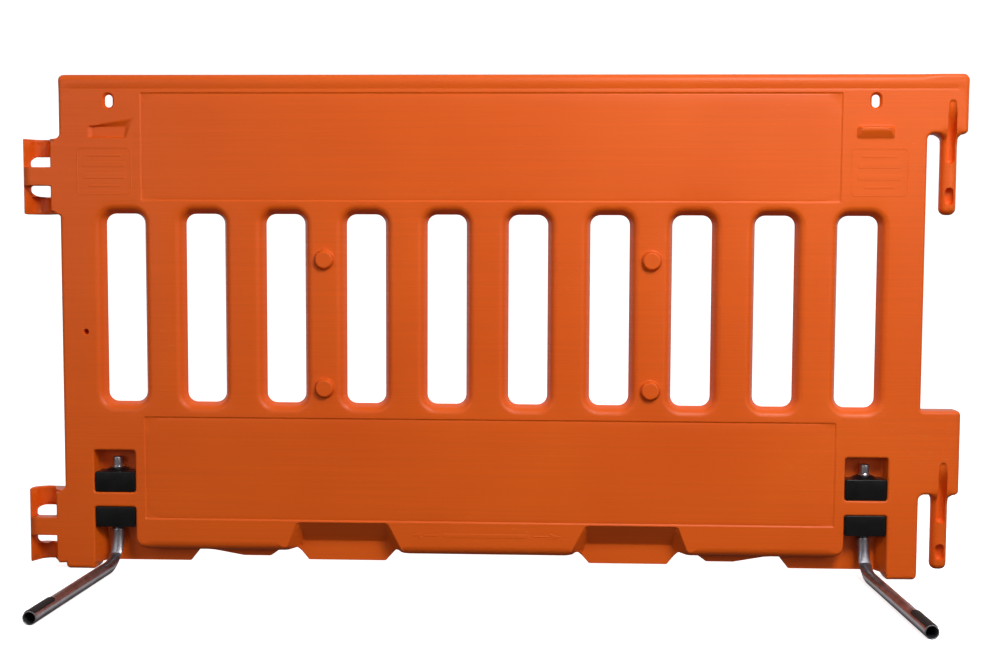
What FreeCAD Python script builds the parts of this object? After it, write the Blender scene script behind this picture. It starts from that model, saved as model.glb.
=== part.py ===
import FreeCAD, Part
import math
import os
from FreeCAD import Vector

# A linking pedestrian barrier panel: one hollow moulded plastic wall with ten slots,
# hinge sockets at the left end, hinge hooks at the right end, and two steel tube feet
# that swing from under the wall out to the front. Millimetres, X along the wall,
# -Y to the front, +Z up, the ground at Z = 0. The wall is modelled about its own
# mid-plane Y = 0, and save() then moves every piece back by WALL_Y, which puts the
# origin in the middle of the ground that the panel covers with its feet out.

# Driving dimensions of the wall
HINGE_SPAN = 1828.8          # from hinge axis to hinge axis, so panels link on 6 ft centres
WALL_LENGTH = 1737.0
WALL_T = 50.8
TOP_Z = 1010.0
LIP_Z = 41.0                 # underside of the wall between the corner pads
SKIN = 3.6                   # thickness of the moulded plastic
RIM_R = 8.0                  # rounding where a face turns into an edge
TOP_CORNER_R = 13.0
PAD_CORNER_R = 10.0
PAD_INNER_R = 6.0
RAIL_GROOVE_Z = 980.0        # fine groove that sets the top rail off from the face
RAIL_GROOVE_R = 1.6
WALL_Y = 200.0

# Slots: narrowest at the mid-plane, opening towards both faces
SLOT_COUNT = 10
SLOT_PITCH = 164.34
SLOT_WIDTH = 78.9
SLOT_LOW, SLOT_HIGH = 346.8, 730.7
SLOT_R = 20.0
SLOT_DRAFT = 20.0            # degrees

# Shallow panels for reflective sheeting, on both faces
SHEET_DEPTH = 1.6
SHEET_HALF = 700.0
UPPER_SHEET = (756.6, 972.0)
LOWER_SHEET = (106.0, 317.0)

# Stacking bosses on the front face, with matching sockets in the back face
BOSS_X = 2 * SLOT_PITCH
BOSS_Z = (379.0, 639.0)
BOSS_BASE_R, BOSS_TOP_R, BOSS_H = 20.0, 17.5, 10.5
BOSS_ROOM = 1.5              # how much wider and deeper the socket is

# Fixing holes for lamps and signs, and the ledge below each
FIXING_X, FIXING_Z = 765.0, 956.0
FIXING_W, FIXING_H = 15.0, 25.0
LEDGE = (737.0, 808.0, 887.0, 910.0)
LEDGE_H = 8.5
VENT_X, VENT_Z, VENT_R = -817.0, 490.0, 5.5

# Foot pockets, open to the front
POCKET_IN, POCKET_OUT = 720.4, 805.3
POCKET_BACK = 13.4           # Y of the back wall
POCKET_TOP = 247.0
BAR_LOW, BAR_HIGH = 130.0, 161.0
POCKET_R = 5.0
LIP_CORNER_R = 26.0

# Skirt behind the stored feet, as (distance from the middle, lower edge) of one half
SKIRT_FRONT = 14.0
SKIRT_EDGE = [(185, 44), (210, 16), (370, 16), (393, 44), (432, 36), (450, 23),
              (505, 23), (567, 34), (598, 36), (618, 11), (806, 11)]
# Hand windows in front of the tips of the stored feet
WINDOW_TOP = (203.0, 386.0, 103.5)
WINDOW_BOTTOM = (170.0, 413.0, 36.0)
WINDOW_SLOPE = [(-26.0, 104.2), (10.0, 62.0), (SKIRT_FRONT, 57.0)]

# Hinge sockets and hooks
HINGE_X = HINGE_SPAN / 2
SOCKET_R = 19.6
SOCKET_HALF = 33.6           # half width of the socket block about its axis
SOCKET_LEVELS = {"lower": 11.0, "upper": 728.3}
SHELL_H, GAP_H, MID_SHELL_H = 36.0, 22.0, 37.4
PRONG_R = 16.4
PRONG_TIP_R = 13.0
HOOK_OUT = 948.5
SHOULDER_R = 9.0
HOOKS = {"lower": (19.0, 173.0, 343.6), "upper": (733.0, 892.0, TOP_Z)}
GROOVE_R, GROOVE_Y = 10.0, -22.0
PRONG_BORE_R, PRONG_BORE_Y = 7.0, 4.0

# Feet
PIVOT_X = 764.0
SHAFT_R = 9.525
TUBE_R = 12.7
TUBE_WALL = 2.0
SHAFT_TOP = 231.0
SHAFT_CAP = 6.0              # the shaft's closed upper end
SHOULDER_Z = 87.0            # where the tube starts to narrow into the shaft
BEND_R = 66.0
FOOT_REACH = 425.0           # from the pivot axis to the open tip
SPLAY = 2.5                  # degrees that the feet point outwards
RUN_CLEARANCE = 0.075        # radial, between the shaft and its bearing blocks

# Bearing blocks, push nuts and grip strips
BLOCK_FRONT = -25.0
BLOCK_R = 5.5
UPPER_BLOCK_TOP = 203.0
LOWER_BLOCK_BOTTOM = 88.7
COLLAR_R, COLLAR_TOP_R, COLLAR_H = 30.0, 14.5, 6.0
NUT_R, NUT_T, NUT_TEETH = 12.8, 1.4, 8
STRIP_T, STRIP_LENGTH, STRIP_ARC = 1.6, 88.0, 100.0


def box(x0, x1, y0, y1, z0, z1):
    return Part.makeBox(x1 - x0, y1 - y0, z1 - z0, Vector(x0, y0, z0))


def both_sides(x0, x1, y0, y1, z0, z1):
    """The same box at +X and at -X."""
    return [box(x0, x1, y0, y1, z0, z1), box(-x1, -x0, y0, y1, z0, z1)]


def cylinder(r, x, y, z0, z1):
    return Part.makeCylinder(r, z1 - z0, Vector(x, y, z0))


def plate(points, y0, y1):
    """A closed outline of (x, z) points, with thickness from y0 to y1."""
    corners = [Vector(x, y0, z) for x, z in points]
    face = Part.Face(Part.makePolygon(corners + corners[:1]))
    return face.extrude(Vector(0, y1 - y0, 0))


def prism(points, x0, x1):
    """A closed outline of (y, z) points, with length from x0 to x1."""
    corners = [Vector(x0, y, z) for y, z in points]
    face = Part.Face(Part.makePolygon(corners + corners[:1]))
    return face.extrude(Vector(x1 - x0, 0, 0))


def round_upright_corners(shape, places, radius, reach=0.01):
    """Round the edges that run along Y through the given (x, z) places."""
    def wanted(edge):
        a, b = edge.Vertexes[0].Point, edge.Vertexes[-1].Point
        along = abs(a.x - b.x) < reach and abs(a.z - b.z) < reach
        return along and any(math.hypot(a.x - x, a.z - z) < reach for x, z in places)
    return shape.makeFillet(radius, [e for e in shape.Edges if wanted(e)])


def rounded_rect(cx, cz, w, h, r, y):
    """Closed outline with round corners in the plane Y = y."""
    quarter = r * math.sqrt(0.5)
    edges, last = [], None
    for ix, iz in ((1, -1), (1, 1), (-1, 1), (-1, -1)):
        x, z = cx + ix * (w / 2 - r), cz + iz * (h / 2 - r)
        side, end = Vector(x + ix * r, y, z), Vector(x, y, z + iz * r)
        start, stop = (end, side) if ix * iz < 0 else (side, end)
        middle = Vector(x + ix * quarter, y, z + iz * quarter)
        if last and last.distanceToPoint(start) > 1e-6:
            edges.append(Part.makeLine(last, start))
        edges.append(Part.Arc(start, middle, stop).toShape())
        last = stop
    first = edges[0].Vertexes[0].Point
    if last.distanceToPoint(first) > 1e-6:
        edges.append(Part.makeLine(last, first))
    return Part.Wire(edges)


def slot_tool(cx, grow=0.0):
    """A slot right through the wall; grow makes it larger all round."""
    reach = WALL_T / 2 + 2
    spread = reach * math.tan(math.radians(SLOT_DRAFT))
    mid_z, height = (SLOT_LOW + SLOT_HIGH) / 2, SLOT_HIGH - SLOT_LOW

    def ring(y, extra):
        w, h = SLOT_WIDTH + 2 * extra, height + 2 * extra
        return rounded_rect(cx, mid_z, w, h, SLOT_R + extra, y)

    waist = ring(0, grow)
    halves = [Part.makeLoft([waist, ring(side * reach, grow + spread)], True, True)
              for side in (-1, 1)]
    return halves[0].fuse(halves[1])


def slot_centres():
    return [(i - (SLOT_COUNT - 1) / 2) * SLOT_PITCH for i in range(SLOT_COUNT)]


def fixing_tool(x, grow=0.0):
    """The oblong fixing hole, right through the wall."""
    w, h = FIXING_W + 2 * grow, FIXING_H + 2 * grow
    ring = rounded_rect(x, FIXING_Z, w, h, w / 2, -WALL_T)
    return Part.Face(ring).extrude(Vector(0, 2 * WALL_T, 0))


def boss(x, z):
    face = Vector(x, -WALL_T / 2 + 1, z)
    cone = Part.makeCone(BOSS_BASE_R, BOSS_TOP_R, BOSS_H + 1, face, Vector(0, -1, 0))
    return cone.makeFillet(2.5, [e for e in cone.Edges
                                 if abs(e.BoundBox.YMax - (face.y - BOSS_H - 1)) < 0.01])


def boss_socket(x, z, grow=0.0):
    mouth = Vector(x, WALL_T / 2 + 1, z)
    room = BOSS_ROOM + grow
    return Part.makeCone(BOSS_BASE_R + room, BOSS_TOP_R + room, BOSS_H + room + 1,
                         mouth, Vector(0, -1, 0))


def boss_places():
    return [(side * BOSS_X, z) for side in (-1, 1) for z in BOSS_Z]


def wall_blank():
    """The wall with its slots, the rims of the faces rounded."""
    half, pad_z = WALL_LENGTH / 2, 0.0
    points = [(-half, pad_z), (-POCKET_OUT, pad_z), (-POCKET_OUT, LIP_Z), (POCKET_OUT, LIP_Z),
              (POCKET_OUT, pad_z), (half, pad_z), (half, TOP_Z), (-half, TOP_Z)]
    body = plate(points, -WALL_T / 2, WALL_T / 2)
    body = round_upright_corners(body, [(-half, TOP_Z), (half, TOP_Z)], TOP_CORNER_R)
    body = round_upright_corners(body, [(-half, 0), (half, 0)], PAD_CORNER_R)
    inner = [(side * POCKET_OUT, z) for side in (-1, 1) for z in (pad_z, LIP_Z)]
    body = round_upright_corners(body, inner, PAD_INNER_R)
    for cx in slot_centres():
        body = body.cut(slot_tool(cx))
    rims = [e for e in body.Edges
            if all(abs(abs(v.Point.y) - WALL_T / 2) < 1e-3 for v in e.Vertexes)
            and e.BoundBox.YLength < 1e-3]
    return body.makeFillet(RIM_R, rims)


def skirt():
    """The thin skirt that hangs behind the stored feet, both halves."""
    top = LIP_Z + 19
    half = [(x, float(z)) for x, z in SKIRT_EDGE]
    right = half + [(half[-1][0], top), (half[0][0], top)]
    left = [(-x, z) for x, z in right]
    return [plate(points, SKIRT_FRONT, WALL_T / 2) for points in (right, left)]


def pocket_tools(side):
    """The upper pocket, and the lower one that runs out through the underside."""
    front = -WALL_T / 2 - 1
    upper = box(POCKET_IN, POCKET_OUT, front, POCKET_BACK, BAR_HIGH, POCKET_TOP)
    upper = round_upright_corners(
        upper, [(x, z) for x in (POCKET_IN, POCKET_OUT) for z in (BAR_HIGH, POCKET_TOP)],
        POCKET_R)
    below = -1.0
    lower = box(POCKET_IN, POCKET_OUT, front, POCKET_BACK, below, BAR_LOW)
    lower = round_upright_corners(
        lower, [(POCKET_IN, BAR_LOW), (POCKET_OUT, BAR_LOW)], POCKET_R)
    corner = box(POCKET_IN - LIP_CORNER_R, POCKET_IN + 1, front, POCKET_BACK,
                 below, LIP_Z + LIP_CORNER_R)
    keep = Part.makeCylinder(
        LIP_CORNER_R, 4 * WALL_T,
        Vector(POCKET_IN - LIP_CORNER_R, -2 * WALL_T, LIP_Z + LIP_CORNER_R), Vector(0, 1, 0))
    tools = [upper, lower.fuse(corner.cut(keep))]
    return tools if side > 0 else [mirrored(t) for t in tools]


def mirrored(shape):
    return shape.mirror(Vector(0, 0, 0), Vector(1, 0, 0))


def window_tool(side):
    """The scoop in the front face in front of a stored foot's tip."""
    (top_in, top_out, top_z), (low_in, low_out, low_z) = WINDOW_TOP, WINDOW_BOTTOM
    slope = (low_in - top_in) / (top_z - low_z)
    drop = low_z + 2
    outline = plate([(top_in - slope, top_z + 1), (top_out + slope, top_z + 1),
                     (low_out - slope * drop, -2), (low_in + slope * drop, -2)],
                    -WALL_T, SKIRT_FRONT)
    front = WINDOW_SLOPE[0][0]
    section = prism(WINDOW_SLOPE + [(SKIRT_FRONT, -2.0), (front, -2.0)], 0, WALL_LENGTH / 2)
    tool = outline.common(section)
    return tool if side > 0 else mirrored(tool)


def ledge(side):
    """The raised ledge below a fixing hole."""
    x0, x1, z0, z1 = LEDGE
    ring = rounded_rect((x0 + x1) / 2, (z0 + z1) / 2, x1 - x0, z1 - z0, 9.0,
                        -WALL_T / 2 + 1)
    bar = Part.Face(ring).extrude(Vector(0, -LEDGE_H - 1, 0))
    outer = [e for e in bar.Edges if e.BoundBox.YMax < -WALL_T / 2 - LEDGE_H + 0.01]
    bar = bar.makeFillet(4.0, outer)
    return bar if side > 0 else mirrored(bar)


def sheet_recesses():
    """Shallow recesses for sheeting: two on the front face and two on the back."""
    tools = []
    for z0, z1 in (UPPER_SHEET, LOWER_SHEET):
        for y0 in (-WALL_T / 2 - 1, WALL_T / 2 - SHEET_DEPTH):
            tools.append(box(-SHEET_HALF, SHEET_HALF, y0, y0 + SHEET_DEPTH + 1, z0, z1))
    return tools


def rail_grooves():
    length = WALL_LENGTH - 2 * RIM_R
    return [Part.makeCylinder(RAIL_GROOVE_R, length,
                              Vector(-length / 2, side * (WALL_T / 2 + 0.3), RAIL_GROOVE_Z),
                              Vector(1, 0, 0)) for side in (-1, 1)]


def cavity():
    """The hollow inside the moulding."""
    y = WALL_T / 2 - SHEET_DEPTH - SKIN
    outer, top = WALL_LENGTH / 2 - 6.5, TOP_Z - 7
    over_pockets = POCKET_TOP + SKIN
    lip = LIP_Z + SKIN + 0.4
    window_over = WINDOW_TOP[2] + 2 * SKIN
    hollow = box(-outer, outer, -y, y, over_pockets, top)
    between = POCKET_IN - SKIN
    rooms = [box(-between, between, -y, y, window_over, over_pockets + 1)]
    rooms += both_sides(POCKET_OUT + SKIN, outer, -y, y, 6.0, over_pockets + 1)
    rooms += both_sides(WINDOW_BOTTOM[1] + 5, between - LIP_CORNER_R - 1, -y, y,
                        lip, window_over + 1)
    rooms.append(box(5 - WINDOW_BOTTOM[0], WINDOW_BOTTOM[0] - 5, -y, y,
                     lip, window_over + 1))
    for room in rooms:
        hollow = hollow.fuse(room)
    solid_parts = [slot_tool(cx, SKIN) for cx in slot_centres()]
    solid_parts += [fixing_tool(side * FIXING_X, SKIN) for side in (-1, 1)]
    solid_parts += [boss_socket(x, z, SKIN) for x, z in boss_places()]
    return hollow.cut(Part.makeCompound(solid_parts))


def panel():
    """The hollow moulded wall."""
    body = wall_blank()
    for piece in skirt():
        body = body.fuse(piece)
    tools = sheet_recesses() + rail_grooves()
    for side in (-1, 1):
        tools += pocket_tools(side) + [window_tool(side), fixing_tool(side * FIXING_X)]
        tools.append(cylinder(SHAFT_R + 0.7, side * PIVOT_X, 0, BAR_LOW - 1, BAR_HIGH + 1))
    tools += [boss_socket(x, z) for x, z in boss_places()]
    for tool in tools:
        body = body.cut(tool)
    for x, z in boss_places():
        body = body.fuse(boss(x, z))
    for side in (-1, 1):
        body = body.fuse(ledge(side))
    body = body.cut(cavity())
    vent = Part.makeCylinder(VENT_R, WALL_T / 2, Vector(VENT_X, -WALL_T / 2 - 1, VENT_Z),
                             Vector(0, 1, 0))
    return body.cut(vent).removeSplitter()


def hinge_socket(level):
    """A knuckle of alternating half shells, which takes the next panel's hook."""
    z0 = SOCKET_LEVELS[level]
    z1 = z0 + 2 * SHELL_H + 2 * GAP_H + MID_SHELL_H
    x0, x1 = -HINGE_X - SOCKET_HALF, -WALL_LENGTH / 2
    block = box(x0, x1, -WALL_T / 2, WALL_T / 2, z0, z1)
    outer = [e for e in block.Edges
             if e.BoundBox.XMax < x0 + 0.01 and e.BoundBox.ZLength > SHELL_H]
    block = block.makeFillet(RIM_R, outer)
    block = block.cut(cylinder(SOCKET_R, -HINGE_X, 0, z0 - 1, z1 + 1))
    left, right = -HINGE_X - SOCKET_R, -HINGE_X + SOCKET_R
    face = WALL_T / 2 + 1
    low_gap, high_gap = z0 + SHELL_H, z1 - SHELL_H - GAP_H
    for bottom, height, front, back in (
            (z0 - 1, SHELL_H + 1.5, -face, 0), (low_gap, GAP_H, -face, face),
            (low_gap + GAP_H - 0.5, MID_SHELL_H + 1, 0, face), (high_gap, GAP_H, -face, face),
            (z1 - SHELL_H - 0.5, SHELL_H + 1.5, -face, 0)):
        block = block.cut(box(left, right, front, back, bottom, bottom + height))
    return block


def groove(z0, z1):
    """A rounded flute down the front of a hook."""
    tool = cylinder(GROOVE_R, HINGE_X, GROOVE_Y, z0 + GROOVE_R, z1 - GROOVE_R)
    for z in (z0 + GROOVE_R, z1 - GROOVE_R):
        tool = tool.fuse(Part.makeSphere(GROOVE_R, Vector(HINGE_X, GROOVE_Y, z)))
    return tool


def hinge_hook(level):
    """An arm off the end of the wall, with the round prong that drops into a socket."""
    tip, under, top = HOOKS[level]
    x0 = WALL_LENGTH / 2
    arm = box(x0, HOOK_OUT, -WALL_T / 2, WALL_T / 2, under, top)
    arm = round_upright_corners(arm, [(HOOK_OUT, top)], TOP_CORNER_R)
    arm = round_upright_corners(arm, [(HOOK_OUT, under)], SHOULDER_R)
    rims = [e for e in arm.Edges if e.BoundBox.YLength < 1e-3
            and abs(abs(e.CenterOfMass.y) - WALL_T / 2) < 1e-3 and e.BoundBox.XMax > x0 + 1]
    arm = arm.makeFillet(RIM_R - 1, rims)
    prong = cylinder(PRONG_R, HINGE_X, 0, tip, under + SKIN)
    end = [e for e in prong.Edges if e.BoundBox.ZMax < tip + 0.01]
    prong = prong.makeFillet(PRONG_TIP_R, end)
    y = WALL_T / 2 - 2 * SKIN
    hollow = box(x0 + SKIN, HOOK_OUT - SKIN - 5, -y, y, under + SKIN + 1, top - SKIN - 5)
    bore = cylinder(PRONG_BORE_R, HINGE_X, PRONG_BORE_Y, tip + PRONG_TIP_R, under + SKIN + 2)
    body = arm.fuse(prong).cut(hollow.cut(cylinder(GROOVE_R + SKIN, HINGE_X, GROOVE_Y,
                                                   under - 1, top)))
    body = body.cut(bore)
    body = body.cut(groove(under - 58, min(under + 64, top - 12)))
    return body.cut(groove(tip + 20, tip + 54)).removeSplitter()


def foot_outline(shaft_r, tube_r, top, extra=0.0):
    """A vertical shaft that widens into a bent tube lying on the ground, along -Y."""
    bend_z = TUBE_R + BEND_R
    shaft = cylinder(shaft_r, 0, 0, SHOULDER_Z, top)
    swage = Part.makeCone(tube_r, shaft_r, SHOULDER_Z - bend_z, Vector(0, 0, bend_z))
    ring = Part.Face(Part.Wire(Part.makeCircle(tube_r, Vector(0, 0, bend_z))))
    bend = ring.revolve(Vector(0, -BEND_R, bend_z), Vector(1, 0, 0), -90)
    run = Part.makeCylinder(tube_r, FOOT_REACH - BEND_R + extra,
                            Vector(0, -BEND_R, TUBE_R), Vector(0, -1, 0))
    return shaft.fuse(swage).fuse(bend).fuse(run)


def at_pivot(shape, side):
    """Turn a piece modelled pointing along -Y to its foot's splay, and place it."""
    placed = shape.copy()
    placed.rotate(Vector(0, 0, 0), Vector(0, 0, 1), side * SPLAY)
    placed.translate(Vector(side * PIVOT_X, 0, 0))
    return placed


def foot_tube(side):
    outer = foot_outline(SHAFT_R, TUBE_R, SHAFT_TOP)
    rim = [e for e in outer.Edges if e.BoundBox.ZMin > SHAFT_TOP - 0.01]
    outer = outer.makeChamfer(1.0, rim)
    inner = foot_outline(SHAFT_R - TUBE_WALL, TUBE_R - TUBE_WALL, SHAFT_TOP - SHAFT_CAP, 1.0)
    return at_pivot(outer.cut(inner).removeSplitter(), side)


def bearing_block(side, z0, z1, collar):
    """A plastic block that fills its pocket and carries the shaft."""
    play = 0.25
    x0, x1, y1 = POCKET_IN + play, POCKET_OUT - play, POCKET_BACK - play
    block = box(x0, x1, BLOCK_FRONT, y1, z0, z1)
    block = block.makeFillet(BLOCK_R, [e for e in block.Edges
                                       if e.BoundBox.YLength > 1 or e.BoundBox.ZLength > 1])
    if collar:
        cone = Part.makeCone(COLLAR_R, COLLAR_TOP_R, COLLAR_H + 1, Vector(PIVOT_X, 0, z1 - 1))
        block = block.fuse(cone.common(box(x0, x1, BLOCK_FRONT + 2, y1, z0, z1 + COLLAR_H + 1)))
    hole = cylinder(SHAFT_R + RUN_CLEARANCE, PIVOT_X, 0, z0 - 1, z1 + COLLAR_H + 1)
    block = block.cut(hole).removeSplitter()
    return block if side > 0 else mirrored(block)


def push_nut(side):
    """The sprung steel ring on top of the upper block, its teeth gripping the shaft."""
    z = UPPER_BLOCK_TOP + COLLAR_H + 0.4
    grip = SHAFT_R + 0.01
    ring = cylinder(NUT_R, 0, 0, z, z + NUT_T)
    crown = Part.makeCone(grip + 3.0, grip + 0.8, 3.0, Vector(0, 0, z + NUT_T))
    nut = ring.fuse(crown).cut(cylinder(grip, 0, 0, z - 1, z + 10))
    for i in range(NUT_TEETH):
        slit = box(grip - 1, grip + 3.4, -0.8, 0.8, z + 0.6, z + 10)
        slit.rotate(Vector(0, 0, 0), Vector(0, 0, 1), 360 * i / NUT_TEETH)
        nut = nut.cut(slit)
    return at_pivot(nut, side)


def grip_strip(side):
    """The rubber strip on top of the foot, near its tip."""
    start = -FOOT_REACH + 2
    axis = Vector(0, -1, 0)
    base = Vector(0, start + STRIP_LENGTH, TUBE_R)
    shell = Part.makeCylinder(TUBE_R + STRIP_T, STRIP_LENGTH, base, axis)
    shell = shell.cut(Part.makeCylinder(TUBE_R, STRIP_LENGTH, base, axis))
    reach = 3 * TUBE_R
    spread = [math.radians(90 + k * STRIP_ARC / 2) for k in (-1, 0, 1)]
    corners = [Vector(0, start - 1, TUBE_R)]
    corners += [Vector(reach * math.cos(a), start - 1, TUBE_R + reach * math.sin(a))
                for a in spread]
    sector = Part.Face(Part.makePolygon(corners + corners[:1]))
    strip = shell.common(sector.extrude(Vector(0, STRIP_LENGTH + 2, 0)))
    return at_pivot(strip, side)


def save(name, shape):
    """Write one sub-part as STEP, after checking that it is sound."""
    moved = shape.copy()
    moved.translate(Vector(0, WALL_Y, 0))
    if len(moved.Solids) == 1:
        moved = moved.Solids[0]
    print(name, "solids", len(shape.Solids), "valid", shape.isValid(),
          "litres", round(shape.Volume / 1e6, 4))
    moved.exportStep(os.path.join("parts", name + ".step"))


def main():
    os.makedirs("parts", exist_ok=True)
    save("panel", panel())
    for level in ("upper", "lower"):
        save("hinge_socket_" + level, hinge_socket(level))
        save("hinge_hook_" + level, hinge_hook(level))
    for side, word in ((-1, "left"), (1, "right")):
        save("foot_tube_" + word, foot_tube(side))
        save("push_nut_" + word, push_nut(side))
        save("grip_strip_" + word, grip_strip(side))
        save("upper_bearing_block_" + word,
             bearing_block(side, BAR_HIGH + 0.1, UPPER_BLOCK_TOP, True))
        save("lower_bearing_block_" + word,
             bearing_block(side, LOWER_BLOCK_BOTTOM, BAR_LOW - 0.1, False))


main()
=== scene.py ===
import math
import bpy
import numpy as np
from mathutils import Matrix, Vector, geometry

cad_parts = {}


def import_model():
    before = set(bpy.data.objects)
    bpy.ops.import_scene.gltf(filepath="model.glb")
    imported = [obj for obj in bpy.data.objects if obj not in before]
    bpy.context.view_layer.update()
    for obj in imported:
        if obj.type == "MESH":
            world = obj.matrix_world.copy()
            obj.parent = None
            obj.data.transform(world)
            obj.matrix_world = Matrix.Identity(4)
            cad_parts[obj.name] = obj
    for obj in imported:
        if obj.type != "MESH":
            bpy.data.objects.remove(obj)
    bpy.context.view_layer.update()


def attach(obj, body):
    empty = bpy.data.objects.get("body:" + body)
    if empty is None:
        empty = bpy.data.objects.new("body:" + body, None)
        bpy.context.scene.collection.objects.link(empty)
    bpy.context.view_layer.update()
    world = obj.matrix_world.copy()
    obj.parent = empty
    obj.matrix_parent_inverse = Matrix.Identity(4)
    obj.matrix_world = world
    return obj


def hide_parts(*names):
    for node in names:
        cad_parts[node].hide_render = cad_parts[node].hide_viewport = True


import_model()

# Everything about the object is in millimetres here, about the wall's mid-plane, with the
# front at -y. MM turns it into metres, and WALL_Y moves it back to where the frame has it.
MM = 0.001
WALL_Y = 200.0
SHARP = math.radians(35)

# The wall
WALL_END = 868.5
FACE = 25.4
TOP = 1010.0
CENTRE_LIP = 37.0
SKIRT_FACE = 14.0
SKIRT_LOW = 11.0
RIM, TOP_RIM, LIP_RIM, FINE_RIM, NOSE_R = 8.0, 14.0, 20.0, 3.0, 24.5
HOOK_RIM, SLOT_RIM, HOLE_RIM, GAP_RIM = 12.0, 16.0, 5.0, 2.0
SKIRT_RIM, POST_RIM, HOOK_SIDE_RIM = 2.2, 5.0, 7.0
LIP_END, SKIRT_TOP = 178.0, 60.0
EDGE_DRAFT, SLOT_DRAFT, HOLE_DRAFT = (math.radians(a) for a in (2, 22, 12))

# Slots, sheeting recesses, bosses, fixing holes, ledges, the vent and the rail. An EDGE is
# what step_down needs: the rounding at the top, the width of the wall, the rounding at the foot.
SLOT_COUNT, SLOT_PITCH, SLOT_WIDTH, SLOT_Z, SLOT_R = 10, 164.34, 78.9, (346.8, 730.7), 20.0
SHEET_X, SHEET_Z, SHEET_DEPTH = 700.0, ((106.0, 317.0), (756.6, 972.0)), 1.6
BOSS_X, BOSS_Z = 2 * SLOT_PITCH, (379.0, 639.0)
BOSS_TOP_R, BOSS_H, BOSS_DRAFT = 17.5, 10.5, 2.5
BOSS_EDGE, SOCKET_EDGE = (3.2, BOSS_DRAFT, 2.2), (2.5, BOSS_DRAFT, 2.0)
SOCKET_ROOM = 1.5
FIXING_X, FIXING_Z, FIXING_SIZE = 765.0, 956.0, (15.0, 25.0)
FUNNEL, FUNNEL_FLOOR = 18.0, 12.0
LEDGE_X, LEDGE_Z, LEDGE_SIZE, LEDGE_H = 765.5, 894.0, (69.0, 18.0), 9.5
LEDGE_END, LEDGE_SLIP, LEDGE_FOOT, LEDGE_RISE = 9.0, 2.2, 0.12, (-11.0, 4.0)
LEDGE_EDGE = (2.4, 1.6, 2.0)
VENT_X, VENT_Z, VENT_R, VENT_DEPTH, VENT_EDGE = -817.0, 490.0, 5.5, 16.0, (1.2, 0.3, 1.0)
RAIL_LOW, RAIL_HIGH, RAIL_BULGE = 980.0, 992.0, 1.6
GROOVE, RAIL_GROOVE, SHEET_GROOVE, SHEET_CORNER = 0.5, 1.6, 1.1, 3.0

# The left recess: left, right, low and high ends of its floor and rim, about the ledge's
# middle, and the slopes of the rim's top and right end
RECESS_FLOOR, RECESS_RIM = (-33.0, 32.0, -9.0, 10.6), (-42.5, 36.25, -11.5, 12.0)
RECESS_DEPTH, RECESS_TOP, RECESS_END = 6.5, 0.19, 0.5

# Pockets for the feet, and the scoops in front of the stored feet's tips
POCKET_X, POCKET_Z, POCKET_R = (720.4, 805.3), (161.0, 247.0), 5.0
BAR_LOW = 130.0
LIP_Z, LIP_CORNER = 41.0, 26.0
POCKET_FLARE, POCKET_EDGE = 13.8, (4.5, 0.6, 3.0)
CUT_EDGE, SCOOP_RIM = (4.5, 0.7, 3.0), 3.0
SCOOP_TOP, SCOOP_LOW = (203.0, 386.0, 103.5), (171.0, 411.0, LIP_Z)
SCOOP_SLOPE, SCOOP_FLOOR_Z, SCOOP_DRAFT = 0.853, 57.0, 0.5

# Hinge knuckles and hooks
AXIS_X = 914.4
KNUCKLE_OUT, BORE_R = 948.0, 19.6
KNUCKLES = (11.0, 728.3)
SHELL, GAP, MID_SHELL = 36.0, 22.0, 37.4
FLARE_OUT, FLARE_IN, FLARE_RIM = 9.5, 9.0, 3.5
KNUCKLE_H = 2 * SHELL + 2 * GAP + MID_SHELL
HOOK_OUT, PRONG_R, SHOULDER_R = 948.5, 16.4, 8.8
HOOKS = ((19.0, 173.0, 343.6), (733.0, 892.0, TOP))
FLUTE_R, FLUTE_Y, FLUTE_START = 8.6, -10.0, -30.0

# Usual spacing of points along straight edges, and over flat parts
STEP, COARSE = 14.0, 26.0

# Where the points of a rounding stand, and how many points `nearest` takes at a time
RIM_ARCS = [math.radians(a) for a in (0, 18, 36, 54, 72, 90)]
BATCH = 1500


def smooth(a, b, x):
    """0 below a, 1 above b, and an easy curve between."""
    t = np.clip((x - a) / (b - a), 0.0, 1.0)
    return t * t * (3.0 - 2.0 * t)


def ramp(x, soft):
    """x where it is positive and 0 elsewhere, with the corner rounded over +-soft."""
    middle = (np.clip(x, -soft, soft) + soft) ** 2 / (4.0 * soft)
    return np.where(x > soft, x, middle)


def rounded(corners, step=STEP, turn=15.0):
    """A closed outline through (x, z, radius) corners, as an (n, 2) array of points."""
    points = []
    count = len(corners)
    for i in range(count):
        before, here, after = (np.array(corners[k % count][:2], float) for k in (i - 1, i, i + 1))
        radius = corners[i][2]
        a = (before - here) / np.linalg.norm(before - here)
        b = (after - here) / np.linalg.norm(after - here)
        half = math.acos(np.clip(a @ b, -1.0, 1.0)) / 2
        start = here + a * radius / math.tan(half)
        centre = here + (a + b) / np.linalg.norm(a + b) * radius / math.sin(half)
        end = here + b * radius / math.tan(half)
        angle = math.atan2(*(start - centre)[::-1])
        sweep = math.atan2(*(end - centre)[::-1]) - angle
        sweep = (sweep + math.pi) % (2 * math.pi) - math.pi
        parts = max(2, math.ceil(abs(math.degrees(sweep)) / turn))
        for k in range(parts + 1):
            t = angle + sweep * k / parts
            points.append(centre + radius * np.array((math.cos(t), math.sin(t))))
    full = []
    for i, p in enumerate(points):
        q = points[(i + 1) % len(points)]
        gap = np.linalg.norm(q - p)
        if gap < 0.05:
            continue
        parts = max(1, math.ceil(gap / step))
        full += [p + (q - p) * k / parts for k in range(parts)]
    return np.array(full)


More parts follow.
